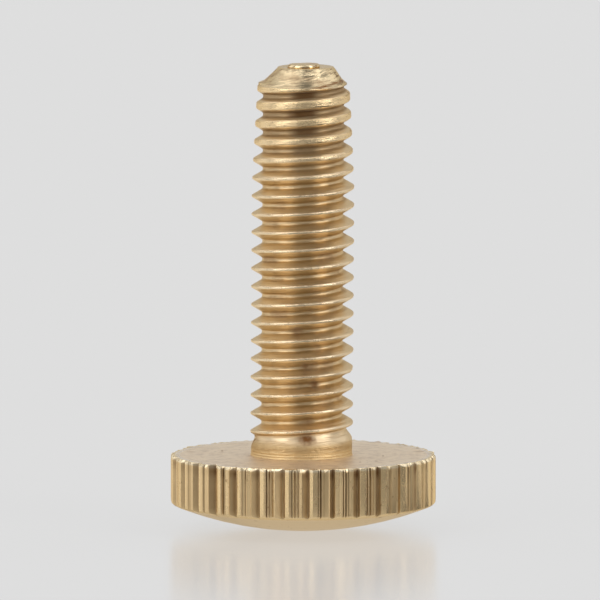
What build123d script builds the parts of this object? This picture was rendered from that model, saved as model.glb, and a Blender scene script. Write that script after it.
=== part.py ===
from build123d import *
import math
import os

# Raw brass thumb screw, M4 x 0.7, turned and rolled from one bar.
# It stands on its domed head with the thread upward: millimetres, +Z up, lowest point of the dome at the origin.

# Head: a disc with a straight rim and a shallow dome
HEAD_DIAMETER = 10.2
RIM_HEIGHT = 1.85
DOME_HEIGHT = 1.02

# Straight knurl of the rim: deep flutes, and a shallow second track in the middle of each land
FLUTE_COUNT = 32
FLUTE_BEARING = 1.3
FLUTE_WIDTH = 0.45
FLUTE_DEPTH = 0.2
TRACK_WIDTH = 0.3
TRACK_DEPTH = 0.08

# Shank, from the head's face to the flat of its tip
SHANK_LENGTH = 15.0
NECK_BEVEL = 0.1
TIP_FLAT_DIAMETER = 2.135
TIP_CHAMFER_ANGLE = 45.0

# Stub that parting-off leaves in the middle of the tip
PIP_DIAMETER = 1.22
PIP_HEIGHT = 0.13

# Thread: right-handed, running out above a plain neck
THREAD_DIAMETER = 3.95
THREAD_PITCH = 0.7
THREAD_DEPTH_SHARE = 0.6
CREST_WIDTH_SHARE = 0.125
FLANK_ANGLE = 30.0
NECK_LENGTH = 0.22
RUNOUT_TURNS = 1.5
FIRST_GROOVE_BEARING = 180.0

# The crests are rubbed down on a slight taper towards the tip
LEAD_LENGTH = 4.4
LEAD_TIP_DIAMETER = 3.47

# How far cutters reach past the metal
CUT_OVERRUN = 0.3

head_radius = HEAD_DIAMETER / 2
face_level = DOME_HEIGHT + RIM_HEIGHT
tip_level = face_level + SHANK_LENGTH
tip_flat_radius = TIP_FLAT_DIAMETER / 2

thread_radius = THREAD_DIAMETER / 2
thread_depth = THREAD_DEPTH_SHARE * THREAD_PITCH
root_radius = thread_radius - thread_depth
flank_slope = math.tan(math.radians(FLANK_ANGLE))
crest_width = CREST_WIDTH_SHARE * THREAD_PITCH
half_root = (THREAD_PITCH - crest_width) / 2 - thread_depth * flank_slope
# The flanks run past the crests, short of the next turn
flank_reach = thread_depth + crest_width / 3
half_mouth = half_root + flank_reach * flank_slope
shank_level = face_level + NECK_BEVEL
runout_drop = RUNOUT_TURNS * THREAD_PITCH
thread_start_level = face_level + NECK_LENGTH + runout_drop
# The thread runs past the tip, on a bar that is longer than the screw until the tip is cut
thread_turns = math.ceil((tip_level - thread_start_level) / THREAD_PITCH) + 1
thread_end_level = thread_start_level + thread_turns * THREAD_PITCH
bar_level = thread_end_level + THREAD_PITCH


def turned(points):
    """Solid turned from the outline through the points (radius, height)."""
    with BuildPart() as solid:
        with BuildSketch(Plane.XZ):
            with BuildLine():
                Polyline(*points, close=True)
            make_face()
        revolve(axis=Axis.Z)
    return solid.part


def turned_head():
    """Dome, rim and face in one turning, with the bevelled foot that the shank stands on."""
    dome_radius = (head_radius**2 + DOME_HEIGHT**2) / (2 * DOME_HEIGHT)
    with BuildPart() as head:
        with BuildSketch(Plane.XZ):
            with BuildLine():
                RadiusArc((0, 0), (head_radius, DOME_HEIGHT), -dome_radius)
                Polyline(
                    (head_radius, DOME_HEIGHT),
                    (head_radius, face_level),
                    (thread_radius + NECK_BEVEL, face_level),
                    (thread_radius, shank_level),
                    (0, shank_level),
                    (0, 0),
                )
            make_face()
        revolve(axis=Axis.Z)
    return head.part


def swept(points, helix):
    """Solid that carries the section (outward, upward) from the start of a helix along it."""
    with BuildPart() as solid:
        with BuildSketch(Plane(origin=helix @ 0, x_dir=(1, 0, 0), z_dir=(0, -1, 0))):
            with BuildLine():
                Polyline(*points, close=True)
            make_face()
        sweep(path=helix, is_frenet=True)
    return solid.part


groove_section = [
    (0, -half_root),
    (flank_reach, -half_mouth),
    (flank_reach + CUT_OVERRUN, -half_mouth),
    (flank_reach + CUT_OVERRUN, half_mouth),
    (flank_reach, half_mouth),
    (0, half_root),
]


def thread_grooves():
    """Groove of the full thread, a cutter for each half turn, from the first full turn to past the tip."""
    half_pitch = THREAD_PITCH / 2
    half_turn = swept(groove_section, Helix(THREAD_PITCH, half_pitch, root_radius))
    cutters = []
    for step in range(2 * thread_turns):
        cutter = half_turn.rotate(Axis.Z, FIRST_GROOVE_BEARING + step * 180)
        cutters.append(Pos(0, 0, thread_start_level + step * half_pitch) * cutter)
    return cutters


def runout_groove():
    """Groove that climbs out of the shank below the first full turn."""
    cone_angle = math.atan2(flank_reach, runout_drop)
    helix = Helix(
        THREAD_PITCH / math.cos(cone_angle),
        runout_drop,
        root_radius,
        cone_angle=math.degrees(cone_angle),
    )
    downward = swept(groove_section, helix).rotate(Axis.X, 180)
    return Pos(0, 0, thread_start_level) * downward.rotate(Axis.Z, FIRST_GROOVE_BEARING)


def worn_lead():
    """Strip over the crests that leaves them on a taper from the lead's start to the tip."""
    taper = math.atan2((THREAD_DIAMETER - LEAD_TIP_DIAMETER) / 2, LEAD_LENGTH)
    start_level = tip_level - LEAD_LENGTH - THREAD_PITCH
    start_radius = thread_radius + THREAD_PITCH * math.tan(taper)
    turns_up = (start_level - thread_start_level) / THREAD_PITCH - 1 / 2
    helix = Helix(
        THREAD_PITCH / math.cos(taper),
        thread_end_level - start_level,
        start_radius,
        cone_angle=-math.degrees(taper),
    )
    half_strip = (THREAD_PITCH - crest_width) / 2
    section = [
        (0, -half_strip),
        (thread_depth + CUT_OVERRUN, -half_strip),
        (thread_depth + CUT_OVERRUN, half_strip),
        (0, half_strip),
    ]
    strip = swept(section, helix).rotate(Axis.Z, FIRST_GROOVE_BEARING + 360 * turns_up)
    return Pos(0, 0, start_level) * strip


def tip_cut():
    """Ring outside the tip's chamfer and all that stands above its flat."""
    outer_radius = thread_radius + CUT_OVERRUN
    chamfer_height = (outer_radius - tip_flat_radius) / math.tan(math.radians(TIP_CHAMFER_ANGLE))
    top_level = bar_level + CUT_OVERRUN
    return turned(
        [
            (0, tip_level),
            (tip_flat_radius, tip_level),
            (outer_radius, tip_level - chamfer_height),
            (outer_radius, top_level),
            (0, top_level),
        ]
    )


def knurl():
    """V cuts round the rim, from below the dome's edge to above the face."""
    with BuildPart() as cuts:
        with BuildSketch():
            for width, depth, half_step in ((FLUTE_WIDTH, FLUTE_DEPTH, 0), (TRACK_WIDTH, TRACK_DEPTH, 1)):
                outer_half = width / 2 * (depth + CUT_OVERRUN) / depth
                bearing = FLUTE_BEARING + half_step * 180 / FLUTE_COUNT
                with PolarLocations(head_radius, FLUTE_COUNT, start_angle=bearing):
                    Polygon((-depth, 0), (CUT_OVERRUN, -outer_half), (CUT_OVERRUN, outer_half), align=None)
        extrude(amount=face_level + CUT_OVERRUN)
    return cuts.part


head = turned_head() - knurl()

shank = Pos(0, 0, shank_level) * Cylinder(
    thread_radius, bar_level - shank_level, align=(Align.CENTER, Align.CENTER, Align.MIN)
)
shank -= thread_grooves()
shank -= runout_groove()
shank -= worn_lead()
shank -= tip_cut()

pip = Pos(0, 0, tip_level) * Cylinder(
    PIP_DIAMETER / 2, PIP_HEIGHT, align=(Align.CENTER, Align.CENTER, Align.MIN)
)
screw = head + shank + pip

os.makedirs("parts", exist_ok=True)
export_step(screw, "parts/thumb_screw.step")
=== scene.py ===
"""Raw brass thumb screw for a studio picture: rolled thread, double-tracked knurl and turned faces."""
import math
import random

import bmesh
import bpy
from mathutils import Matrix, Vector, noise


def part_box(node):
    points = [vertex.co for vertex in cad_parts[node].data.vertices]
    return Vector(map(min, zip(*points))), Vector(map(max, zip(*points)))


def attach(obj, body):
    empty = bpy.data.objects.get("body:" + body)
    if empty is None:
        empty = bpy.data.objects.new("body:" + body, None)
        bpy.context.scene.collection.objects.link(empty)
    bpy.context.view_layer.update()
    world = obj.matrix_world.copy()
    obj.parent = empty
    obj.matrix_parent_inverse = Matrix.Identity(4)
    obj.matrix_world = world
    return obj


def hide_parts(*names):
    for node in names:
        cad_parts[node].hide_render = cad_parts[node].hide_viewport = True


bl_info = {
    "name": "Brass Thumb Screw",
    "version": (1, 0, 0),
    "blender": (4, 5, 0),
    "location": "View3D > Sidebar > Thumb Screw",
    "description": "Models a raw brass thumb screw and the stage it is shown on",
    "category": "Object",
}

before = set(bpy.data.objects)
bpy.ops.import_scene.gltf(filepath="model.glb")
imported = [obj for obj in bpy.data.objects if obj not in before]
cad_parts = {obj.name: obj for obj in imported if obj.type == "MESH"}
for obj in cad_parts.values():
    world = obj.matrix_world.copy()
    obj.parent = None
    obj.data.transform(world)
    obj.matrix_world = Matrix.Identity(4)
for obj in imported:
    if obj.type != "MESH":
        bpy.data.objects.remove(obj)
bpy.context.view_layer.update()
_, screw_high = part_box("thumb_screw")

MM = 0.001


def length(name, description, default):
    """Property for a length in metres."""
    return bpy.props.FloatProperty(
        name=name,
        description=description,
        default=default,
        min=0.0,
        precision=6,
        subtype="DISTANCE",
        unit="LENGTH",
    )


def offset(name, description, default):
    """Property for a signed length in metres."""
    return bpy.props.FloatProperty(
        name=name, description=description, default=default, precision=6, subtype="DISTANCE", unit="LENGTH"
    )


def angle(name, description, degrees):
    """Property for an angle."""
    return bpy.props.FloatProperty(
        name=name, description=description, default=math.radians(degrees), subtype="ANGLE"
    )


def colour(name, description, default):
    """Property for a linear colour."""
    return bpy.props.FloatVectorProperty(
        name=name, description=description, default=default, size=3, min=0.0, max=1.0, subtype="COLOR"
    )


def share(name, description, default):
    """Property for a plain factor."""
    return bpy.props.FloatProperty(name=name, description=description, default=default, min=0.0)


class HeadSizes(bpy.types.PropertyGroup):
    """Sizes of the knurled head."""

    radius: length("Radius", "Radius over the knurl", screw_high[0])
    face_level: length("Face level", "Height of the head's flat face", 2.87 * MM)
    dome_height: length("Dome height", "Height of the domed end below the rim", 1.02 * MM)
    flutes: bpy.props.IntProperty(name="Flutes", description="Deep flutes round the rim", default=32, min=3)
    flute_depth: length("Flute depth", "Depth of the deep flutes", 0.2 * MM)
    track_depth: length("Track depth", "Depth of the second track on each land", 0.08 * MM)
    bearing: angle("Bearing", "Turn of the first flute", 2.2)


class ThreadSizes(bpy.types.PropertyGroup):
    """Sizes of the rolled thread and its tip."""

    pitch: length("Pitch", "Rise of the thread in one turn", 0.7 * MM)
    radius: length("Radius", "Outer radius of the thread", 1.975 * MM)
    depth: length("Depth", "Depth of the thread's groove", 0.42 * MM)
    neck_radius: length("Neck radius", "Radius of the plain neck", 1.945 * MM)
    first_crest: length("First crest", "Height of the lowest full crest above the face, at -X", 0.918 * MM)
    runout_turns: share("Run-out", "Turns in which the groove fades below the first full one", 1.5)
    lead_length: length("Lead length", "Length of the worn crests at the tip", 4.4 * MM)
    lead_drop: length("Lead drop", "How far the crests have worn down at the tip", 0.24 * MM)
    tip_level: length("Tip level", "Height of the tip's flat", 17.87 * MM)
    tip_radius: length("Tip radius", "Radius of the tip's flat", 1.0675 * MM)
    pip_radius: length("Pip radius", "Radius of the parting stub", 0.61 * MM)
    foot_offset: offset("Foot offset", "How far the shank's foot sits off the head's middle", -0.07 * MM)
    tip_offset: offset("Tip offset", "How far the tip sits off the head's middle", 0.015 * MM)
    chamfer_offset: offset("Chamfer offset", "How far the chamfer's top is off the shank's axis", 0.08 * MM)


class BrassLook(bpy.types.PropertyGroup):
    """Colours of the brass."""

    clean: colour("Clean", "Freshly turned brass", (0.82, 0.65, 0.43))
    faced: colour("Faced", "Finely turned brass of the head's face", (0.81, 0.67, 0.495))
    rolled: colour("Rolled", "Burnished brass of the thread", (0.77, 0.615, 0.41))
    # Painted shade: the thread's roots are coloured darker than the rolled brass, standing in for the shade
    # and the dimmer reflection in them
    deep: colour("Deep", "Brass in the thread's roots", (0.67, 0.50, 0.29))
    pressed: colour("Pressed", "Pressed brass of the knurl", (0.77, 0.57, 0.31))
    filed: colour("Filed", "Scratched brass of the tip's chamfer", (0.78, 0.63, 0.40))
    burr: colour("Burr", "Bright burr at the head's upper edge", (0.92, 0.78, 0.54))
    necked: colour("Necked", "Brass of the neck", (0.56, 0.395, 0.205))
    head_edge: colour("Head edge", "Tint of the head's face seen at a glance", (1.0, 1.0, 1.0))
    thread_edge: colour("Thread edge", "Tint of the thread seen at a glance", (0.82, 0.72, 0.55))
    # The tarnish colour and its tint at a glance also serve the painted shadows beside the run-out and round
    # the tip's stub
    stain_and_shade: colour("Stain", "Brown tarnish on the shank", (0.22, 0.10, 0.036))
    # Grime colour, also the colour of the painted shade in the knurl's flutes and in the thread's roots near
    # the tip
    grime_and_shade: colour("Grime", "Dark dirt in the knurl and the worn thread", (0.115, 0.052, 0.015))
    stain_and_shade_edge: colour("Stain edge", "Tint of the tarnish seen at a glance", (0.45, 0.27, 0.13))


class StageLook(bpy.types.PropertyGroup):
    """Floor, light and camera."""

    floor: colour("Floor", "Colour of the floor", (0.70, 0.70, 0.70))
    pale: share("Pale", "Brightness of the floor to the eye", 0.76)
    under: share("Under", "Brightness of the floor in the metal", 0.72)
    sheen: share("Sheen", "Share of mirror reflection in the floor", 0.40)
    tent: share("Tent", "Brightness of the light tent", 0.69)
    softbox: share("Softbox", "Brightness of the softboxes", 2.2)
    gap: share("Gap", "Brightness of the dark gap between the softboxes", 0.34)
    elevation: angle("Elevation", "How far the camera looks down", 6.4)
    distance: length("Distance", "Distance of the camera", 900 * MM)
    frame_width: length("Frame width", "Width of the picture at the screw", 23.077 * MM)


# Rows of the thread's sheet, the crest's edge and the flank's end, as shares of the pitch from the crest's
# middle, and the rounding at both, as shares of the flank
ROW_SHARES = (0.0, 0.02, 0.045, 0.066, 0.088, 0.15, 0.212, 0.275, 0.337, 0.372, 0.405, 0.45, 0.5)
CREST_SHARE = 0.057
FLANK_END_SHARE = 0.404
CREST_ROUNDING = 0.09
ROOT_ROUNDING = 0.17
STEPS_PER_TURN = 120
JOIN_DISTANCE = 0.0005 * MM
LEVEL_TOLERANCE = 0.001 * MM
# Level cut through the neck, above the face
NECK_CUT = 0.25 * MM
# Rounding of the worn crests
LEAD_ROUNDING = 0.07 * MM
# Chamfer of the tip: how much it widens on the way down, and how much more below its upper part
CHAMFER_SLOPE = 0.86
CHAMFER_FLARE = 0.35
CHAMFER_UPPER = 0.45 * MM
CHAMFER_HEIGHT = 0.6 * MM


def rounded_ramp(x, rounding):
    """Zero below zero and x above, with the corner rounded over that much on each side."""
    if x <= -rounding:
        return 0.0
    if x >= rounding:
        return x
    return (x + rounding) ** 2 / (4 * rounding)


def groove_share(from_crest):
    """Depth of the thread, as a share of its full depth, at a share of the pitch from the crest."""
    t = (abs(from_crest) - CREST_SHARE) / (FLANK_END_SHARE - CREST_SHARE)
    return rounded_ramp(t, CREST_ROUNDING) - rounded_ramp(t - 1.0, ROOT_ROUNDING)


def smooth_step(x, low, high):
    """Zero below low, one above high, smooth between."""
    t = min(max((x - low) / (high - low), 0.0), 1.0)
    return t * t * (3.0 - 2.0 * t)


def runout_share(below):
    """Depth share of the fading groove at a share of the pitch below its crest: steep above, gentle below."""
    return smooth_step(below, 0.05, 0.24) * (1.0 - smooth_step(below, 0.26, 0.92))


def ripple(point, per_mm):
    """Smooth noise with that many waves in a millimetre."""
    return noise.noise(Vector(point) * (per_mm / MM))


# Marks on the shank: bearing in degrees from the camera to the right, height above the face and half height
# in millimetres, half width in degrees, and how far the metal stands out there in millimetres
SHANK_MARKS = (
    (-88.0, 14.40, 0.035, 24.0, 0.11),
    (88.0, 3.37, 0.08, 5.0, -0.05),
    (84.0, 3.20, 0.04, 4.0, 0.09),
    (-80.0, 0.66, 0.05, 9.0, -0.07),
    (70.0, 13.55, 0.06, 6.0, -0.05),
)


def mark_height(x, y, up):
    """How far the marks push the metal outward at a bearing and a height above the face."""
    bearing = math.degrees(math.atan2(x, -y))
    total = 0.0
    for middle, level, half_height, half_width, out in SHANK_MARKS:
        near = ((bearing - middle) / half_width) ** 2 + ((up / MM - level) / half_height) ** 2
        if near < 4.0:
            total += out * MM * (1.0 - near / 4.0) ** 2
    return total


class ScrewShape:
    """Radius of the shank's surface anywhere on it."""

    def __init__(self, head, thread):
        self.head = head
        self.thread = thread
        self.face = head.face_level
        self.tip = thread.tip_level

    def crest_offset(self, turn, z):
        """Turns above the lowest full crest at this bearing; turn counts from -X, towards -Y."""
        return (z - self.face - self.thread.first_crest) / self.thread.pitch - turn

    def radius(self, x, y, z):
        """Radius of the metal at the bearing of (x, y) and the height z."""
        thread = self.thread
        turn = (math.atan2(y, x) / (2 * math.pi) - 0.5) % 1.0
        crests_up = self.crest_offset(turn, z)
        groove = math.floor(crests_up) + 1
        turns_below = 1.0 - groove - turn
        deep = groove_share(crests_up - round(crests_up))
        if turns_below > 0.0:
            fade = max(1.0 - turns_below / thread.runout_turns, 0.0)
            soft = smooth_step(turns_below, 0.0, 0.6)
            deep = fade * (deep + (runout_share(groove - crests_up) - deep) * soft)
        neck = smooth_step(turns_below + groove - crests_up, 0.9, 1.5)
        crest = thread.radius + (thread.neck_radius - thread.radius) * neck
        point = (x, y, z)
        wear = 0.004 * MM * ripple(point, 2.3) + 0.003 * MM * ripple(point, 7.0)
        radius = crest - thread.depth * deep + wear * (1.0 - min(deep, 1.0))
        down = self.tip - z
        if down < thread.lead_length:
            lead = thread.radius - thread.lead_drop * (1.0 - down / thread.lead_length)
            rough = 0.006 * MM * ripple(point, 2.6) + 0.006 * MM * ripple(point, 9.0)
            radius -= rounded_ramp(radius - lead - rough, LEAD_ROUNDING)
        widening = CHAMFER_SLOPE * down + CHAMFER_FLARE * max(down - CHAMFER_UPPER, 0.0)
        chamfer = thread.tip_radius + widening + 0.004 * MM * ripple(point, 4.0)
        return min(radius, max(chamfer, thread.tip_radius)) + mark_height(x, y, z - self.face)


def set_cylindrical(vert, radius, z):
    """Moves a vertex to a radius and height at its own bearing."""
    scale = radius / math.hypot(vert.co.x, vert.co.y)
    vert.co = Vector((vert.co.x * scale, vert.co.y * scale, z))


def boundary_at(bm, level):
    """Open edges that lie at a height."""
    return [
        edge for edge in bm.edges
        if edge.is_boundary and all(abs(v.co.z - level) < LEVEL_TOLERANCE for v in edge.verts)
    ]


def extend(bm, edges, place):
    """Extrudes a ring of open edges and places each new vertex by place(vertex); returns the new edges."""
    made = bmesh.ops.extrude_edge_only(bm, edges=edges)["geom"]
    verts = [item for item in made if isinstance(item, bmesh.types.BMVert)]
    for vert in verts:
        place(vert)
    ends = set(verts)
    return [item for item in made if isinstance(item, bmesh.types.BMEdge) and set(item.verts) <= ends]


def rings(bm, edges, sections):
    """Extrudes a ring through sections (radius, height); returns the last ring."""
    for radius, level in sections:
        edges = extend(bm, edges, lambda vert, r=radius, z=level: set_cylindrical(vert, r, z))
    return edges


def close_ring(bm, edges, level):
    """Closes a ring with a fan to a point on the axis."""
    made = bmesh.ops.extrude_edge_only(bm, edges=edges)["geom"]
    verts = [item for item in made if isinstance(item, bmesh.types.BMVert)]
    bmesh.ops.pointmerge(bm, verts=verts, merge_co=Vector((0.0, 0.0, level)))


def add_threaded_shank(bm, shape):
    """Spins one pitch of sheet up the screw, shapes it and cuts both ends level; returns the lower ring."""
    thread = shape.thread
    pitch = thread.pitch
    neck_cut = shape.face + NECK_CUT
    start = shape.face + thread.first_crest + 0.5 * pitch - 3 * pitch
    turns = math.ceil((shape.tip - start) / pitch) + 2
    shares = sorted({-s for s in ROW_SHARES} | set(ROW_SHARES))
    column = [bm.verts.new((thread.radius, 0.0, start + s * pitch)) for s in shares]
    links = [bm.edges.new(pair) for pair in zip(column, column[1:])]
    bmesh.ops.spin(
        bm,
        geom=column + links,
        cent=(0.0, 0.0, 0.0),
        axis=(0.0, 0.0, 1.0),
        dvec=(0.0, 0.0, pitch / STEPS_PER_TURN),
        angle=2 * math.pi,
        steps=STEPS_PER_TURN,
        use_merge=False,
        use_duplicate=False,
    )
    one_turn = bm.verts[:] + bm.edges[:] + bm.faces[:]
    for turn in range(1, turns):
        copy = bmesh.ops.duplicate(bm, geom=one_turn)["geom"]
        verts = [item for item in copy if isinstance(item, bmesh.types.BMVert)]
        bmesh.ops.translate(bm, verts=verts, vec=(0.0, 0.0, turn * pitch))
    bmesh.ops.remove_doubles(bm, verts=bm.verts[:], dist=JOIN_DISTANCE)
    for vert in bm.verts:
        set_cylindrical(vert, shape.radius(*vert.co), vert.co.z)
    for level, up in ((neck_cut, -1.0), (shape.tip, 1.0)):
        bmesh.ops.bisect_plane(
            bm,
            geom=bm.verts[:] + bm.edges[:] + bm.faces[:],
            dist=JOIN_DISTANCE,
            plane_co=(0.0, 0.0, level),
            plane_no=(0.0, 0.0, up),
            clear_outer=True,
        )
    return boundary_at(bm, neck_cut)


# Tool marks round the neck's foot: height above the face and how far they stand out, in millimetres
FOOT_RINGS = (
    (0.2, 0.0),
    (0.165, -0.012),
    (0.125, 0.002),
    (0.1, 0.006),
    (0.075, -0.01),
    (0.04, 0.004),
    (0.0, 0.02),
)


def add_foot(bm, shape, ring):
    """Carries the neck down to the head's face over the turning tool's marks; returns the last ring."""
    for up, out in FOOT_RINGS:

        def place(vert, level=shape.face + up * MM, out=out):
            waver = 1.0 + 0.6 * ripple((vert.co.x, vert.co.y, level), 0.8)
            set_cylindrical(vert, shape.thread.neck_radius + out * MM * waver, level)

        ring = extend(bm, ring, place)
    return ring


# Edge of the tip's flat: how far in and how far up, in millimetres
TIP_EDGE = (0.04, 0.008)
# Rings over the stub that parting-off leaves: share of its radius, how far out, height above the tip's flat,
# and how ragged it is, in millimetres
STUB_RINGS = (
    (1.0, 0.14, 0.006, 0.012),
    (1.0, -0.01, -0.004, 0.015),
    (1.0, 0.02, 0.04, 0.025),
    (1.0, 0.005, 0.085, 0.025),
    (1.0, -0.025, 0.112, 0.02),
    (0.8, 0.0, 0.118, 0.012),
    (0.55, 0.0, 0.126, 0.01),
    (0.25, 0.0, 0.13, 0.006),
)


def add_tip(bm, shape):
    """Closes the tip with its flat and the torn stub left by parting-off."""
    thread = shape.thread
    pip = thread.pip_radius
    top = screw_high[2]

    def torn(radius, level, ragged):
        def place(vert):
            set_cylindrical(vert, radius, level)
            point = tuple(vert.co)
            x, y, _ = point
            swell = ripple(point, 1.9) + 0.7 * ripple(point, 5.0)
            lift = 0.8 * ripple((y, x, level), 2.3) - 0.45 + 0.5 * x / pip
            set_cylindrical(vert, radius + ragged * swell, min(level + ragged * lift, top))

        return place

    edge_in, edge_up = TIP_EDGE
    flat_edge = (thread.tip_radius - edge_in * MM, shape.tip + edge_up * MM)
    ring = rings(bm, boundary_at(bm, shape.tip), (flat_edge,))
    for share_in, out, up, ragged in STUB_RINGS:
        ring = extend(bm, ring, torn(pip * share_in + out * MM, shape.tip + up * MM, ragged * MM))
    close_ring(bm, ring, top)


def lean_shank(bm, shape):
    """Sets the shank off the head's middle by the little it leans, and the chamfer's top off the shank's."""
    thread = shape.thread
    for vert in bm.verts:
        up = (vert.co.z - shape.face) / (shape.tip - shape.face)
        radius = math.hypot(vert.co.x, vert.co.y)
        outside = smooth_step(radius, thread.pip_radius + 0.1 * MM, thread.tip_radius)
        high = smooth_step(vert.co.z, shape.tip - CHAMFER_HEIGHT, shape.tip)
        lean = thread.foot_offset * (1.0 - up) + thread.tip_offset * up
        vert.co.x += lean + thread.chamfer_offset * outside * high


# Flute of the knurl from its bottom: share of a period, share of the depth, and how dark the dirt and the
# painted shade lie, darkest in the flute's bottom
FLUTE_POINTS = (
    (-0.34, 0.18, 0.3),
    (-0.27, 0.0, 0.2),
    (-0.255, 0.06, 0.75),
    (-0.14, 0.5, 0.8),
    (-0.03, 0.96, 0.95),
    (0.0, 1.0, 1.0),
    (0.03, 0.94, 0.8),
    (0.085, 0.52, 0.35),
    (0.11, 0.42, 0.0),
    (0.27, 0.03, 0.0),
    (0.29, 0.0, 0.0),
)
# Lines on the land right of a flute: share of a period, how far it strays, half width, and share of the
# track's depth
LAND_LINES = (
    (0.385, 0.03, 0.026, 0.7),
    (0.49, 0.022, 0.042, 1.1),
    (0.585, 0.025, 0.022, 0.5),
)


def knurl_outline(head, draw):
    """Bearing, depth, and dirt with painted shade, of each point round the knurl, every flute a little
    different, by bearing.
    """
    points = []
    step = 2 * math.pi / head.flutes

    def add(index, place, depth, dirt_and_shade):
        bearing = math.remainder(head.bearing - math.pi / 2 + step * (index + place), 2 * math.pi)
        points.append((bearing, depth, dirt_and_shade))

    for index in range(head.flutes):
        turn = math.degrees(head.bearing + step * index) % 360
        shallow = smooth_step(turn, 48.0, 56.0) - smooth_step(turn, 84.0, 100.0)
        deep = head.flute_depth * draw.uniform(0.85, 1.2) * (1.0 - 0.6 * shallow)
        shift = draw.uniform(-0.03, 0.03)
        left = draw.uniform(0.5, 1.1)
        right = draw.uniform(0.65, 1.15)
        dirt_and_shade_share = draw.uniform(0.55, 1.0)
        for place, depth, dirt_and_shade in FLUTE_POINTS:
            add(index, place * (left if place < 0.0 else right) + shift, deep * depth, dirt_and_shade * dirt_and_shade_share)
        for middle, stray, half_width, strength in LAND_LINES:
            place = middle + draw.uniform(-stray, stray)
            half = half_width * draw.uniform(0.6, 1.2)
            line = strength * draw.uniform(0.3, 1.2)
            tone = draw.uniform(0.0, 0.4)
            add(index, place - half, draw.uniform(0.0, 0.03) * MM, tone)
            add(index, place - 0.4 * half, head.track_depth * line, min(1.8 * line, 1.0))
            add(index, place + 0.4 * half, head.track_depth * line, min(1.8 * line, 1.0))
            add(index, place + half, draw.uniform(0.0, 0.03) * MM, tone)
    return sorted(points)


# Rings of the head, in millimetres: radii on the face, depth below the face and share of the dirt and painted
# shade down the rim, heaviest as painted shadow just under the burr at the rim's top, and radii on the dome
FACE_RADII = (3.2, 4.1)
RIM_RINGS = ((0.24, 1.4), (0.5, 1.0), (0.8, 0.9), (1.1, 1.0), (1.4, 1.0), (1.65, 1.0))
DOME_RADII = (4.1, 3.5, 2.8, 2.1, 1.4, 0.7)
# Margins that stay plain round the neck, inside the face's edge and inside the dome's edge
NECK_MARGIN = 0.3 * MM
FACE_MARGIN = 0.38 * MM
DOME_MARGIN = 0.42 * MM


def add_head(bm, shape, foot):
    """Builds face, knurled rim and dome out of rings, from the foot of the neck on."""
    head = shape.head
    face = shape.face
    neck = shape.thread.neck_radius
    outline = knurl_outline(head, random.Random(7))
    spoke = bm.verts.layers.int.new("spoke")
    circle = bmesh.ops.create_circle(bm, segments=len(outline), radius=neck + NECK_MARGIN)["verts"]
    bmesh.ops.translate(bm, verts=circle, vec=(0.0, 0.0, face))
    for index, vert in enumerate(sorted(circle, key=lambda vert: math.atan2(vert.co.y, vert.co.x))):
        vert[spoke] = index
    on_circle = set(circle)
    inner = [edge for edge in bm.edges if set(edge.verts) <= on_circle]
    bmesh.ops.triangle_fill(bm, use_beauty=True, edges=foot + inner, normal=(0.0, 0.0, 1.0))
    dirt_and_shade_layer = bm.verts.layers.float["dirt_and_shade"]
    dome_radius = (head.radius**2 + head.dome_height**2) / (2 * head.dome_height)

    def dome_level(radius):
        return dome_radius - math.sqrt(dome_radius**2 - radius**2)

    def place_spoke(section, dirt_and_shade_share=0.0):
        def place(vert):
            bearing, depth, dirt_and_shade = outline[vert[spoke]]
            radius, z = section(bearing, depth)
            vert.co = Vector((radius * math.cos(bearing), radius * math.sin(bearing), z))
            # Dirt in the flutes, with painted shade in their bottoms and painted shadow just under the burr
            vert[dirt_and_shade_layer] = dirt_and_shade * dirt_and_shade_share

        return place

    def edge_point(bearing, per_mm):
        return ripple((head.radius * math.cos(bearing), head.radius * math.sin(bearing), face), per_mm)

    def edge_drop(bearing):
        drop = 0.055 + 0.09 * edge_point(bearing, 2.1) + 0.17 * edge_point(bearing, 6.3)
        return min(max(drop, 0.01), 0.19) * MM

    def face_margin(bearing, depth):
        return head.radius - FACE_MARGIN, face

    def edge_inner(bearing, depth):
        lift = max(0.045 * edge_point(bearing, 6.1) + 0.006, 0.0) * MM
        return head.radius - max(depth, 0.75 * edge_drop(bearing)) - 0.025 * MM, face + lift

    def edge_outer(bearing, depth):
        return head.radius - depth, face - edge_drop(bearing)

    def wall(down):
        def section(bearing, depth):
            waver = 0.004 * MM * edge_point(bearing + 0.4 * down / MM, 2.2)
            return head.radius - max(depth + waver * min(depth / (0.02 * MM), 1.0), 0.0), face - down

        return section

    def lower_edge(bearing, depth):
        return head.radius - depth - 0.01 * MM, dome_level(head.radius - depth) + 0.035 * MM

    def dome_edge(bearing, depth):
        radius = head.radius - max(1.3 * depth, 0.06 * MM) - 0.03 * MM
        return radius, dome_level(radius)

    def dome_margin(bearing, depth):
        radius = head.radius - DOME_MARGIN
        return radius, dome_level(radius)

    ring = rings(bm, inner, [(radius * MM, face) for radius in FACE_RADII])
    ring = extend(bm, ring, place_spoke(face_margin))
    ring = extend(bm, ring, place_spoke(edge_inner, 0.2))
    ring = extend(bm, ring, place_spoke(edge_outer, 1.2))
    for down, dirt_and_shade_share in RIM_RINGS:
        ring = extend(bm, ring, place_spoke(wall(down * MM), dirt_and_shade_share))
    ring = extend(bm, ring, place_spoke(lower_edge, 0.7))
    ring = extend(bm, ring, place_spoke(dome_edge))
    ring = extend(bm, ring, place_spoke(dome_margin))
    ring = rings(bm, ring, [(radius * MM, dome_level(radius * MM)) for radius in DOME_RADII])
    close_ring(bm, ring, 0.0)


# Angles from which an edge is sharp, in degrees, and how far in the rim reaches
SHARP_ANGLE = 38
FINE_SHARP_ANGLE = 12
RIM_WIDTH = 0.3 * MM


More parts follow.
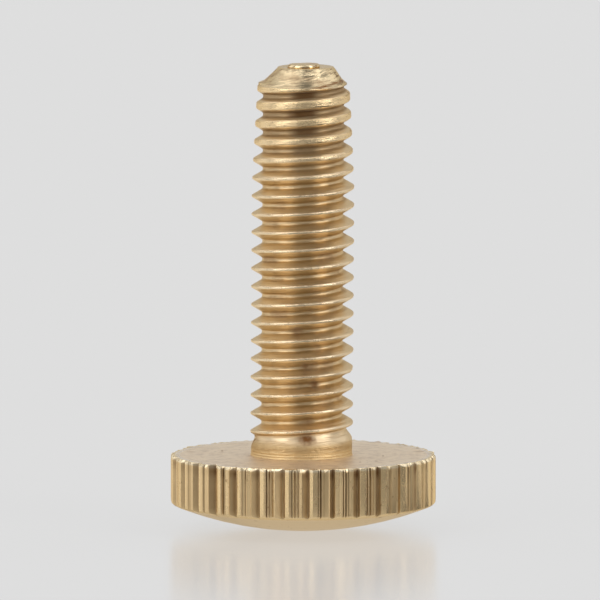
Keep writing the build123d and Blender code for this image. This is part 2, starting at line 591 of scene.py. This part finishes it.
def mark_sharp(bm, rim_radius, face_level):
    """Smooth shading, but sharp at a clear angle, or at a slight one on the knurl and round the face."""
    for face in bm.faces:
        face.smooth = True
    for edge in bm.edges:
        on_rim = all(math.hypot(vert.co.x, vert.co.y) > rim_radius for vert in edge.verts)
        on_face = all(abs(vert.co.z - face_level) < LEVEL_TOLERANCE for vert in edge.verts)
        limit = math.radians(FINE_SHARP_ANGLE if on_rim or on_face else SHARP_ANGLE)
        edge.smooth = len(edge.link_faces) != 2 or edge.calc_face_angle(0.0) < limit


class NodeSheet:
    """Shorthand for the nodes of one tree."""

    def __init__(self, tree):
        self.tree = tree
        self.tree.nodes.clear()

    def add(self, kind, inputs=None, **settings):
        """Adds a node, sets its properties and fills or links its inputs."""
        node = self.tree.nodes.new(kind)
        for name, value in settings.items():
            setattr(node, name, value)
        for key, value in (inputs or {}).items():
            socket = node.inputs[key]
            if isinstance(value, bpy.types.NodeSocket):
                self.tree.links.new(value, socket)
            else:
                socket.default_value = value
        return node

    def math(self, operation, first, second=0.0):
        """Math node with one or two operands."""
        return self.add("ShaderNodeMath", {0: first, 1: second}, operation=operation).outputs[0]

    def times(self, first, second):
        """Product of two values or masks."""
        return self.math("MULTIPLY", first, second)

    def without(self, first, second):
        """First mask where the second is not."""
        return self.times(first, self.math("SUBTRACT", 1.0, second))

    def weighted(self, start, *terms):
        """Start and the sum of values, each times its weight."""
        total = start
        for value, weight in terms:
            total = self.math("ADD", total, self.times(value, weight))
        return total

    def fade(self, value, low, high):
        """Zero at low, one at high, smooth between."""
        node = self.add(
            "ShaderNodeMapRange",
            {"Value": value, "From Min": low, "From Max": high},
            interpolation_type="SMOOTHSTEP",
        )
        return node.outputs[0]

    def within(self, value, low, high, soft):
        """One between low and high, with soft ends."""
        rise = self.fade(value, low - soft, low + soft)
        return self.times(rise, self.fade(value, high + soft, high - soft))

    def mix(self, factor, first, second):
        """Mix of two colours."""
        node = self.add("ShaderNodeMix", {0: factor, 6: first, 7: second}, data_type="RGBA")
        return node.outputs[2]

    def noise(self, vector, scale, detail=2.0, roughness=0.5):
        """Noise texture."""
        node = self.add(
            "ShaderNodeTexNoise",
            {"Vector": vector, "Scale": scale, "Detail": detail, "Roughness": roughness},
        )
        return node.outputs[0]

    def vector(self, x, y, z):
        """Vector of three values."""
        return self.add("ShaderNodeCombineXYZ", {0: x, 1: y, 2: z}).outputs[0]


WHITE = (1.0, 1.0, 1.0, 1.0)
# Height of the finest relief, as the material shows it
RELIEF_HEIGHT = 0.012 * MM


def opaque(rgb):
    """Colour with full alpha."""
    return (*rgb, 1.0)


# Tarnish spots on the shank, with painted shadows among them: bearing in degrees from the camera to the
# right, radius and height, half width and half height, in millimetres, and strength
SHANK_STAINS_AND_SHADOWS = (
    (-9.0, 1.6, 7.84, 0.34, 0.15, 0.7),
    (3.0, 1.6, 6.46, 0.24, 0.14, 0.85),
    (16.0, 1.6, 5.76, 0.28, 0.18, 0.9),
    (7.0, 1.6, 4.33, 0.30, 0.11, 0.7),
    (4.5, 1.85, 3.67, 0.42, 0.27, 1.0),
    # Painted shadow: the dark sliver at the left end of the run-out
    (-83.0, 1.9, 3.42, 0.12, 0.3, 0.95),
    (86.0, 1.95, 3.42, 0.08, 0.09, 0.85),
    (20.0, 1.67, 17.215, 0.36, 0.04, 1.0),
    (30.0, 1.64, 17.26, 0.36, 0.045, 1.0),
    (41.0, 1.60, 17.305, 0.36, 0.04, 1.0),
    (54.0, 1.57, 17.345, 0.4, 0.05, 1.0),
    (72.0, 1.55, 17.375, 0.4, 0.06, 1.0),
    (80.0, 1.74, 16.90, 0.07, 0.05, 1.0),
    (78.0, 1.75, 16.63, 0.07, 0.04, 0.9),
    (80.0, 1.79, 16.06, 0.07, 0.05, 1.0),
    (81.0, 1.82, 15.43, 0.07, 0.04, 0.9),
    # Painted shade at the right and left sides of the tip's stub, and a painted shadow along its foot in
    # front
    (52.0, 0.61, 17.94, 0.12, 0.06, 0.9),
    (-66.0, 0.61, 17.93, 0.10, 0.06, 0.8),
    (8.0, 0.63, 17.885, 0.2, 0.03, 0.6),
)
# Specks on the head's face: place, half width and half depth, in millimetres, and strength
FACE_SPECKS = (
    (-3.13, 1.2, 0.06, 0.22, 0.75),
    (3.07, -0.47, 0.05, 0.25, 0.6),
    (2.18, -2.47, 0.06, 0.2, 0.55),
    (2.8, -2.14, 0.08, 0.2, 0.5),
    (-4.33, 0.85, 0.22, 0.16, 0.4),
    (2.85, 4.1, 0.4, 0.25, 0.45),
    (4.4, 0.9, 0.3, 0.2, 0.35),
)
SPECK_HALF_HEIGHT = 0.1


class BrassSheet(NodeSheet):
    """Node sheet with the screw's own coordinates, in millimetres and radians, its zones and its textures."""

    def __init__(self, tree, head, thread):
        super().__init__(tree)
        self.place_coordinates(head, thread)
        self.mark_zones()
        self.draw_textures(head)

    def place_coordinates(self, head, thread):
        """Radius, bearing and height, and the way along and across the thread."""
        place = self.add("ShaderNodeTexCoord").outputs["Object"]
        scaled = self.add("ShaderNodeVectorMath", {0: place, "Scale": 1.0 / MM}, operation="SCALE")
        self.spot = scaled.outputs[0]
        self.x, self.y, self.z = self.add("ShaderNodeSeparateXYZ", {0: self.spot}).outputs
        squares = self.math("ADD", self.times(self.x, self.x), self.times(self.y, self.y))
        self.radius = self.math("SQRT", squares)
        self.bearing = self.math("ARCTAN2", self.x, self.times(self.y, -1.0))
        self.face = head.face_level / MM
        self.tip = thread.tip_level / MM
        self.lead_start = (thread.tip_level - thread.lead_length) / MM
        pitch = thread.pitch / MM
        turn = self.math("ADD", self.math("DIVIDE", self.bearing, 2 * math.pi), 0.25)
        height = self.math("SUBTRACT", self.z, (head.face_level + thread.first_crest) / MM)
        up = self.math("SUBTRACT", self.math("DIVIDE", height, pitch), turn)
        count = self.math("ROUND", up)
        self.across = self.times(self.math("SUBTRACT", up, count), pitch)
        self.along = self.times(self.math("ADD", count, turn), 2 * math.pi * thread.radius / MM)
        above = self.math("MAXIMUM", self.math("SUBTRACT", self.z, self.lead_start), 0.0)
        drop = self.times(above, thread.lead_drop / thread.lead_length)
        crest_radius = self.math("SUBTRACT", thread.radius / MM, drop)
        self.below_crest = self.math("SUBTRACT", crest_radius, self.radius)
        self.depth = self.math("SUBTRACT", thread.radius / MM, self.radius)

    def mark_zones(self):
        """Masks of the screw's zones, with soft edges at levels and radii in millimetres."""
        z, radius, face, tip = self.z, self.radius, self.face, self.tip
        self.shank = self.times(self.fade(z, face + 0.002, face + 0.012), self.fade(radius, 2.6, 2.4))
        self.rim = self.fade(radius, 4.72, 4.8)
        self.burr = self.times(self.fade(z, face - 0.14, face - 0.05), self.fade(radius, 4.84, 4.9))
        self.flat = self.without(self.without(1.0, self.shank), self.rim)
        upper = self.without(self.fade(z, face - 0.17, face - 0.07), self.shank)
        self.on_face = self.times(upper, self.fade(radius, 5.0, 4.9))
        self.collar = self.times(self.fade(z, face + 0.75, face + 0.45), self.shank)
        self.foot = self.times(self.fade(z, face + 0.34, face + 0.2), self.shank)
        crest = self.times(self.fade(self.below_crest, 0.07, 0.01), self.shank)
        self.crest = self.without(crest, self.collar)
        self.root = self.times(self.fade(self.depth, 0.24, 0.38), self.shank)
        self.on_lead = self.fade(z, self.lead_start - 0.5, self.lead_start + 2.5)
        self.on_tip = self.times(self.fade(z, tip - 0.75, tip - 0.6), self.fade(self.below_crest, 0.0, 0.05))
        self.chamfer = self.times(self.on_tip, self.fade(z, tip, tip - 0.04))
        self.flanks = self.without(self.without(self.shank, self.crest), self.on_tip)

    def draw_textures(self, head):
        """Noises that colour, relief and roughness share; scales are waves in a millimetre or a radian."""
        self.blotch = self.noise(self.spot, 1.1, 3.0)
        self.grain = self.noise(self.spot, 16.0, 3.0, 0.6)
        self.pits = self.noise(self.spot, 6.5, 3.0, 0.6)
        self.helix_lines = self.streaks(self.across, 18.0, self.along, 0.7)
        self.beads = self.streaks(self.along, 3.6, self.across, 20.0, seed=3.0)
        tip_rise = self.math("ADD", self.z, self.times(self.bearing, -0.22))
        self.tip_lines = self.streaks(tip_rise, 8.0, self.bearing, 1.9, detail=1.8, seed=9.0)
        self.collar_lines = self.streaks(self.z, 9.0, self.bearing, 0.7, detail=2.0, seed=11.0)
        round_rim = self.times(self.bearing, head.radius / MM)
        self.rim_lines = self.streaks(round_rim, 9.0, self.z, 0.6, seed=7.0)
        arcs = self.vector(
            self.times(self.radius, 5.0),
            self.times(self.math("DIVIDE", self.x, self.radius), 2.4),
            self.times(self.math("DIVIDE", self.y, self.radius), 2.4),
        )
        patches = self.noise(self.spot, 2.6, 5.0, 0.65)
        self.turning = self.weighted(0.0, (patches, 0.68), (self.noise(arcs, 1.0, 4.0, 0.6), 0.32))

    def streaks(self, first, first_scale, second, second_scale, detail=3.0, seed=0.0):
        """Noise over two coordinates, each with its own scale."""
        place = self.vector(self.times(first, first_scale), self.times(second, second_scale), seed)
        return self.noise(place, 1.0, detail, 0.6)

    def stain_and_shade(self, middle, halves, strength):
        """Soft spot with a ragged edge round a point."""
        off = self.add("ShaderNodeVectorMath", {0: self.spot, 1: middle}, operation="SUBTRACT").outputs[0]
        size = [1.0 / half for half in halves]
        off = self.add("ShaderNodeVectorMath", {0: off, 1: size}, operation="MULTIPLY").outputs[0]
        far = self.add("ShaderNodeVectorMath", {0: off}, operation="LENGTH").outputs["Value"]
        ragged = self.weighted(far, (self.noise(self.spot, 5.0, 3.0), 0.9))
        return self.times(self.fade(ragged, 1.65, 0.6), strength)


def tarnish_and_shadows(sheet):
    """Mask of the brown tarnish and painted shadows: blotches in the roots, spots on the shank, some of them
    painted shadow, and specks on the face.
    """
    stained_and_shaded = sheet.times(sheet.times(sheet.fade(sheet.blotch, 0.52, 0.72), sheet.root), 0.4)
    for bearing, radius, z, half_width, half_height, strength in SHANK_STAINS_AND_SHADOWS:
        turn = math.radians(bearing)
        middle = (radius * math.sin(turn), -radius * math.cos(turn), z)
        spot = sheet.stain_and_shade(middle, (half_width, half_width, half_height), strength)
        stained_and_shaded = sheet.math("MAXIMUM", stained_and_shaded, spot)
    for x, y, half_width, half_depth, strength in FACE_SPECKS:
        spot = sheet.stain_and_shade((x, y, sheet.face), (half_width, half_depth, SPECK_HALF_HEIGHT), strength)
        stained_and_shaded = sheet.math("MAXIMUM", stained_and_shaded, spot)
    return stained_and_shaded


def dirt_and_shade_mask(sheet):
    """Mask of dark dirt and painted shade: painted shade in the roots near the tip, darkest where they face
    the camera, dirt on the worn crests and chamfer, and dirt with painted shade in the knurl's flutes.
    """
    # Painted shade: the roots near the tip darken most round the bearing that faces the camera, standing in
    # for the dark front they mirror
    lead_root = sheet.without(sheet.times(sheet.root, sheet.on_lead), sheet.on_tip)
    off_middle = sheet.math("ABSOLUTE", sheet.math("SUBTRACT", sheet.bearing, 0.04))
    dirt_and_shade = sheet.times(lead_root, sheet.weighted(0.42, (sheet.fade(off_middle, 0.48, 0.12), 0.5)))
    worn_crest = sheet.times(sheet.fade(sheet.beads, 0.57, 0.68), sheet.times(sheet.crest, sheet.on_lead))
    worn_chamfer = sheet.times(sheet.fade(sheet.tip_lines, 0.52, 0.64), sheet.chamfer)
    worn = sheet.math("MAXIMUM", worn_crest, worn_chamfer)
    right_end = sheet.weighted(0.36, (sheet.fade(sheet.bearing, 0.7, 1.3), 0.5))
    dirt_and_shade = sheet.math("MAXIMUM", dirt_and_shade, sheet.times(worn, right_end))
    in_flutes = sheet.add("ShaderNodeAttribute", attribute_name="dirt_and_shade").outputs["Fac"]
    return sheet.math("MAXIMUM", dirt_and_shade, sheet.times(in_flutes, 0.77))


def brass_colour(sheet, look, stained_and_shaded, dirt_and_shade):
    """Base colour: each zone's brass, with painted shade in the thread's roots, then tarnish with a few
    painted shadows, dirt with painted shade, and fine marks over it.
    """
    base = sheet.mix(sheet.shank, opaque(look.clean), opaque(look.rolled))
    base = sheet.mix(sheet.rim, base, opaque(look.pressed))
    base = sheet.mix(sheet.on_face, base, opaque(look.faced))
    base = sheet.mix(sheet.burr, base, opaque(look.burr))
    # Painted shade in the thread's roots
    base = sheet.mix(sheet.root, base, opaque(look.deep))
    lead_crest = sheet.times(sheet.times(sheet.crest, sheet.on_lead), 0.75)
    base = sheet.mix(lead_crest, base, opaque(look.pressed))
    base = sheet.mix(sheet.collar, base, opaque(look.necked))
    base = sheet.mix(sheet.times(sheet.foot, 0.7), base, opaque(look.pressed))
    base = sheet.mix(sheet.on_tip, base, opaque(look.filed))
    base = sheet.mix(stained_and_shaded, base, opaque(look.stain_and_shade))
    base = sheet.mix(dirt_and_shade, base, opaque(look.grime_and_shade))
    face_marks = sheet.times(sheet.fade(sheet.turning, 0.42, 0.66), sheet.on_face)
    base = sheet.mix(sheet.times(face_marks, 0.27), base, opaque(look.stain_and_shade))
    dull = sheet.times(sheet.fade(sheet.helix_lines, 0.52, 0.68), sheet.shank)
    base = sheet.mix(sheet.times(dull, 0.22), base, opaque(look.stain_and_shade))
    specks = sheet.fade(sheet.noise(sheet.spot, 4.2, 2.0), 0.69, 0.73)
    return sheet.mix(sheet.times(sheet.without(specks, sheet.shank), 0.5), base, opaque(look.stain_and_shade))


def brass_relief(sheet):
    """Normal with the tool marks and grain of each zone."""
    relief = sheet.weighted(
        0.0,
        (sheet.times(sheet.helix_lines, sheet.flanks), 2.3),
        (sheet.times(sheet.beads, sheet.crest), 2.2),
        (sheet.times(sheet.turning, sheet.flat), 1.6),
        (sheet.times(sheet.tip_lines, sheet.chamfer), 2.6),
        (sheet.times(sheet.collar_lines, sheet.collar), 1.8),
        (sheet.times(sheet.rim_lines, sheet.rim), 0.8),
        (sheet.grain, 0.3),
        (sheet.times(sheet.pits, sheet.collar), 3.0),
    )
    bump = {"Height": relief, "Strength": 1.0, "Distance": RELIEF_HEIGHT}
    return sheet.add("ShaderNodeBump", bump).outputs[0]


def brass_material(look, head, thread):
    """Raw brass: turned face and dome, pressed knurl, rolled thread with burnished roots and tarnish; painted
    shade darkens the thread's roots and the knurl's flutes, and painted shadows sit beside the run-out and
    round the tip's stub.
    """
    material = bpy.data.materials.new("raw_brass")
    material.use_nodes = True
    sheet = BrassSheet(material.node_tree, head, thread)
    stained_and_shaded = tarnish_and_shadows(sheet)
    dirt_and_shade = dirt_and_shade_mask(sheet)
    base = brass_colour(sheet, look, stained_and_shaded, dirt_and_shade)
    dulled = sheet.math("MAXIMUM", stained_and_shaded, dirt_and_shade)
    edge = sheet.mix(sheet.on_face, opaque(look.thread_edge), opaque(look.head_edge))
    edge = sheet.mix(dulled, edge, opaque(look.stain_and_shade_edge))
    roughness = sheet.weighted(
        0.19,
        (sheet.blotch, 0.14),
        (sheet.flat, 0.22),
        (sheet.collar, 0.15),
        (dulled, 0.2),
        (sheet.flanks, 0.08),
        (sheet.on_tip, -0.1),
    )
    shader = sheet.add(
        "ShaderNodeBsdfPrincipled",
        {
            "Base Color": base,
            "Metallic": sheet.weighted(1.0, (dulled, -0.65)),
            "Roughness": roughness,
            "Specular IOR Level": sheet.weighted(0.5, (dulled, -0.4)),
            "Specular Tint": edge,
            "Normal": brass_relief(sheet),
        },
    )
    sheet.add("ShaderNodeOutputMaterial", {"Surface": shader.outputs[0]})
    return material


class OBJECT_OT_brass_thumb_screw(bpy.types.Operator):
    """Models the thumb screw in one piece"""

    bl_idname = "object.brass_thumb_screw"
    bl_label = "Brass Thumb Screw"
    bl_options = {"REGISTER", "UNDO"}

    def execute(self, context):
        scene = context.scene
        shape = ScrewShape(scene.screw_head, scene.screw_thread)
        bm = bmesh.new()
        bm.verts.layers.float.new("dirt_and_shade")
        foot = add_foot(bm, shape, add_threaded_shank(bm, shape))
        add_tip(bm, shape)
        lean_shank(bm, shape)
        add_head(bm, shape, foot)
        bmesh.ops.remove_doubles(bm, verts=bm.verts[:], dist=JOIN_DISTANCE)
        bmesh.ops.recalc_face_normals(bm, faces=bm.faces[:])
        mark_sharp(bm, shape.head.radius - RIM_WIDTH, shape.face)
        open_edges = sum(1 for edge in bm.edges if len(edge.link_faces) != 2)
        mesh = bpy.data.meshes.new("brass_thumb_screw")
        bm.to_mesh(mesh)
        bm.free()
        if open_edges:
            raise RuntimeError(f"the screw's mesh has {open_edges} open edges")
        piece = bpy.data.objects.new("brass_thumb_screw", mesh)
        context.collection.objects.link(piece)
        mesh.materials.append(brass_material(scene.screw_brass, scene.screw_head, scene.screw_thread))
        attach(piece, "root")
        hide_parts("thumb_screw")
        return {"FINISHED"}


# Panels of the light tent: bearing from the camera and height above the floor, both from and to in degrees,
# and brightness as a share of the softboxes'
PANELS = (
    (-74.0, -30.0, -4.0, 52.0, 1.0),
    (-128.0, -98.0, 8.0, 62.0, 0.6),
    (43.0, 72.0, -4.0, 50.0, 1.4),
    (104.0, 132.0, 8.0, 60.0, 0.5),
)
# Softness of the panels' sides and of their ends, in degrees
PANEL_SOFTNESS = (4.0, 5.0)
# Dark gap round the camera: bearing from, to and softness, and the heights where it is zero and where it is
# full, in degrees
GAP = (-12.0, 34.0, 8.0, 52.0, 34.0)
# Brightness of the tent's front as a share of its rear's
FRONT_SHARE = 0.6
# Softboxes overhead, by the direction they are seen in: sideways from, to and softness, backward from and to,
# and brightness as a share of the softboxes'
OVERHEAD = (
    (-0.05, 0.25, 0.05, -0.58, -0.33, 0.48),
    (-0.52, 0.0, 0.13, -0.58, -0.33, 0.86),
    (0.2, 0.55, 0.1, -0.58, -0.33, 0.86),
    (-0.6, -0.14, 0.05, -0.21, 0.3, 0.66),
    (0.3, 0.6, 0.05, -0.21, 0.3, 0.66),
)
# Dark slot between the overhead softboxes, in the same order, with its brightness as a share of the gap's
SLOT = (-0.08, 0.22, 0.05, -0.28, 0.2, 0.55)
OVERHEAD_SOFTNESS = 0.04


def tent_world(look):
    """Light tent: bright panels left and right and overhead, a pale rear and a dark gap round the camera."""
    world = bpy.data.worlds.new("light_tent")
    world.use_nodes = True
    sheet = NodeSheet(world.node_tree)
    direction = sheet.add("ShaderNodeTexCoord").outputs["Generated"]
    x, y, z = sheet.add("ShaderNodeSeparateXYZ", {0: direction}).outputs
    degrees = 180 / math.pi
    bearing = sheet.times(sheet.math("ARCTAN2", x, sheet.times(y, -1.0)), degrees)
    height = sheet.times(sheet.math("ARCSINE", z), degrees)
    high_up = sheet.fade(z, 0.5, 0.7)

    def toward(level, mask, value):
        """Level moved to a value where the mask is."""
        return sheet.weighted(sheet.without(level, mask), (mask, value))

    level = toward(look.tent * FRONT_SHARE, sheet.fade(y, -0.1, 0.35), look.tent)
    left, right, soft, top, full = GAP
    gap = sheet.times(sheet.within(bearing, left, right, soft), sheet.fade(height, top, full))
    level = toward(level, gap, look.gap)
    side, end = PANEL_SOFTNESS
    for left, right, low, high, bright in PANELS:
        panel = sheet.times(sheet.within(bearing, left, right, side), sheet.within(height, low, high, end))
        level = toward(level, panel, bright * look.softbox)
    boxes = [(*box[:-1], box[-1] * look.softbox) for box in OVERHEAD]
    boxes.append((*SLOT[:-1], SLOT[-1] * look.gap))
    for left, right, soft, front, back, bright in boxes:
        across = sheet.within(x, left, right, soft)
        box = sheet.times(across, sheet.within(y, front, back, OVERHEAD_SOFTNESS))
        level = toward(level, sheet.times(box, high_up), bright)
    background = sheet.add("ShaderNodeBackground", {"Color": WHITE, "Strength": level})
    sheet.add("ShaderNodeOutputWorld", {"Surface": background.outputs[0]})
    return world


# Lighter and darker patches of the floor as the metal mirrors it: change of its brightness, and each edge of
# the patch by what it is measured along, from where it is zero to where it is full, in millimetres or radians
FLOOR_PATCHES = (
    (0.12, (("far", 9.0, 4.0),)),
    (-0.6, (("ahead", 7.0, 15.0), ("ahead", 45.0, 28.0))),
    (-0.9, (("far", 70.0, 125.0), ("bearing", -0.35, -0.1), ("bearing", 0.75, 0.5))),
    (0.4, (("bearing", -0.5, -0.9), ("far", 6.0, 14.0))),
    (0.1, (("bearing", -0.7, -1.2), ("far", 6.0, 10.0))),
    (0.08, (("bearing", 0.5, 0.9), ("far", 6.0, 14.0))),
    (-0.82, (("bearing", 0.5, 0.9), ("bearing", 1.75, 1.58), ("far", 5.0, 9.0), ("far", 38.0, 27.0))),
    (0.25, (("bearing", 1.58, 1.75), ("far", 5.0, 9.0))),
)
# Share of the floor's own glow to the eye, which leaves room for the shadow, and blur of its reflection
GLOW_SHARE = 0.85
SHEEN_ROUGHNESS = 0.22


def floor_material(look):
    """Pale floor: even to the eye, with a soft shadow and a faint reflection; to the metal it is a glow with
    painted lighter and darker patches.
    """
    material = bpy.data.materials.new("pale_floor")
    material.use_nodes = True
    sheet = NodeSheet(material.node_tree)
    place = sheet.add("ShaderNodeTexCoord").outputs["Object"]
    x, y, _ = sheet.add("ShaderNodeSeparateXYZ", {0: place}).outputs
    path = sheet.add("ShaderNodeLightPath").outputs
    seen = path["Is Camera Ray"]
    mirrored = path["Is Glossy Ray"]
    distance = sheet.add("ShaderNodeVectorMath", {0: place}, operation="LENGTH").outputs["Value"]
    forward = sheet.times(y, -1.0)
    along = {
        "far": sheet.times(distance, 1.0 / MM),
        "ahead": sheet.times(forward, 1.0 / MM),
        "bearing": sheet.math("ARCTAN2", x, forward),
    }
    strength = 1.0
    for change, edges in FLOOR_PATCHES:
        patch = change
        for name, low, high in edges:
            patch = sheet.times(patch, sheet.fade(along[name], low, high))
        strength = sheet.math("ADD", strength, patch)
    strength = sheet.times(strength, look.under)

    def mixed(factor, first, second):
        """Mix of two shaders."""
        return sheet.add("ShaderNodeMixShader", {0: factor, 1: first, 2: second}).outputs[0]

    paper = sheet.add("ShaderNodeBsdfDiffuse", {"Color": opaque(look.floor)}).outputs[0]
    glow = sheet.add("ShaderNodeEmission", {"Color": WHITE, "Strength": look.pale}).outputs[0]
    sheen = sheet.add("ShaderNodeBsdfGlossy", {"Color": WHITE, "Roughness": SHEEN_ROUGHNESS}).outputs[0]
    # Painted reflection: glossy rays see this glow with its painted patches in place of a lit floor
    card = sheet.add("ShaderNodeEmission", {"Color": WHITE, "Strength": strength}).outputs[0]
    surface = mixed(sheet.times(seen, GLOW_SHARE), paper, glow)
    surface = mixed(sheet.times(seen, look.sheen), surface, sheen)
    surface = mixed(mirrored, surface, card)
    sheet.add("ShaderNodeOutputMaterial", {"Surface": surface})
    return material


# Half width of the floor and the point that the camera looks at, in metres
FLOOR_HALF_WIDTH = 1.5
CAMERA_TARGET = (-0.127 * MM, 0.0, 8.853 * MM)


class SCENE_OT_screw_stage(bpy.types.Operator):
    """Adds the floor, the light tent and the camera"""

    bl_idname = "scene.screw_stage"
    bl_label = "Screw Stage"
    bl_options = {"REGISTER", "UNDO"}

    def execute(self, context):
        scene = context.scene
        look = scene.screw_stage_look
        scene.view_settings.view_transform = "Standard"
        scene.world = tent_world(look)

        bm = bmesh.new()
        bmesh.ops.create_grid(bm, x_segments=1, y_segments=1, size=FLOOR_HALF_WIDTH)
        mesh = bpy.data.meshes.new("floor")
        bm.to_mesh(mesh)
        bm.free()
        floor = bpy.data.objects.new("floor", mesh)
        context.collection.objects.link(floor)
        mesh.materials.append(floor_material(look))

        target = Vector(CAMERA_TARGET)
        back = Vector((0.0, -math.cos(look.elevation), math.sin(look.elevation)))
        lens = bpy.data.cameras.new("camera")
        lens.sensor_width = 36.0
        lens.lens = lens.sensor_width * look.distance / look.frame_width
        lens.clip_start = 0.01
        camera = bpy.data.objects.new("camera", lens)
        camera.location = target + back * look.distance
        camera.rotation_euler = (-back).to_track_quat("-Z", "Y").to_euler()
        context.collection.objects.link(camera)
        scene.camera = camera
        return {"FINISHED"}


class VIEW3D_PT_thumb_screw(bpy.types.Panel):
    """Sizes, colours and build buttons of the thumb screw"""

    bl_idname = "VIEW3D_PT_thumb_screw"
    bl_label = "Thumb Screw"
    bl_space_type = "VIEW_3D"
    bl_region_type = "UI"
    bl_category = "Thumb Screw"

    def draw(self, context):
        scene = context.scene
        for title, group in (
            ("Head", scene.screw_head),
            ("Thread", scene.screw_thread),
            ("Brass", scene.screw_brass),
            ("Stage", scene.screw_stage_look),
        ):
            box = self.layout.box()
            box.label(text=title)
            for name in group.__annotations__:
                box.prop(group, name)
        self.layout.operator(OBJECT_OT_brass_thumb_screw.bl_idname)
        self.layout.operator(SCENE_OT_screw_stage.bl_idname)


CLASSES = (
    HeadSizes,
    ThreadSizes,
    BrassLook,
    StageLook,
    OBJECT_OT_brass_thumb_screw,
    SCENE_OT_screw_stage,
    VIEW3D_PT_thumb_screw,
)
SETTINGS = {
    "screw_head": HeadSizes,
    "screw_thread": ThreadSizes,
    "screw_brass": BrassLook,
    "screw_stage_look": StageLook,
}


def register():
    """Makes the classes and the scene's settings known."""
    for cls in CLASSES:
        bpy.utils.register_class(cls)
    for name, group in SETTINGS.items():
        setattr(bpy.types.Scene, name, bpy.props.PointerProperty(type=group))


def unregister():
    """Takes the settings and the classes away again."""
    for name in SETTINGS:
        delattr(bpy.types.Scene, name)
    for cls in reversed(CLASSES):
        bpy.utils.unregister_class(cls)


def main():
    """Builds the screw and its stage."""
    register()
    bpy.ops.object.brass_thumb_screw()
    bpy.ops.scene.screw_stage()


if __name__ == "__main__":
    main()
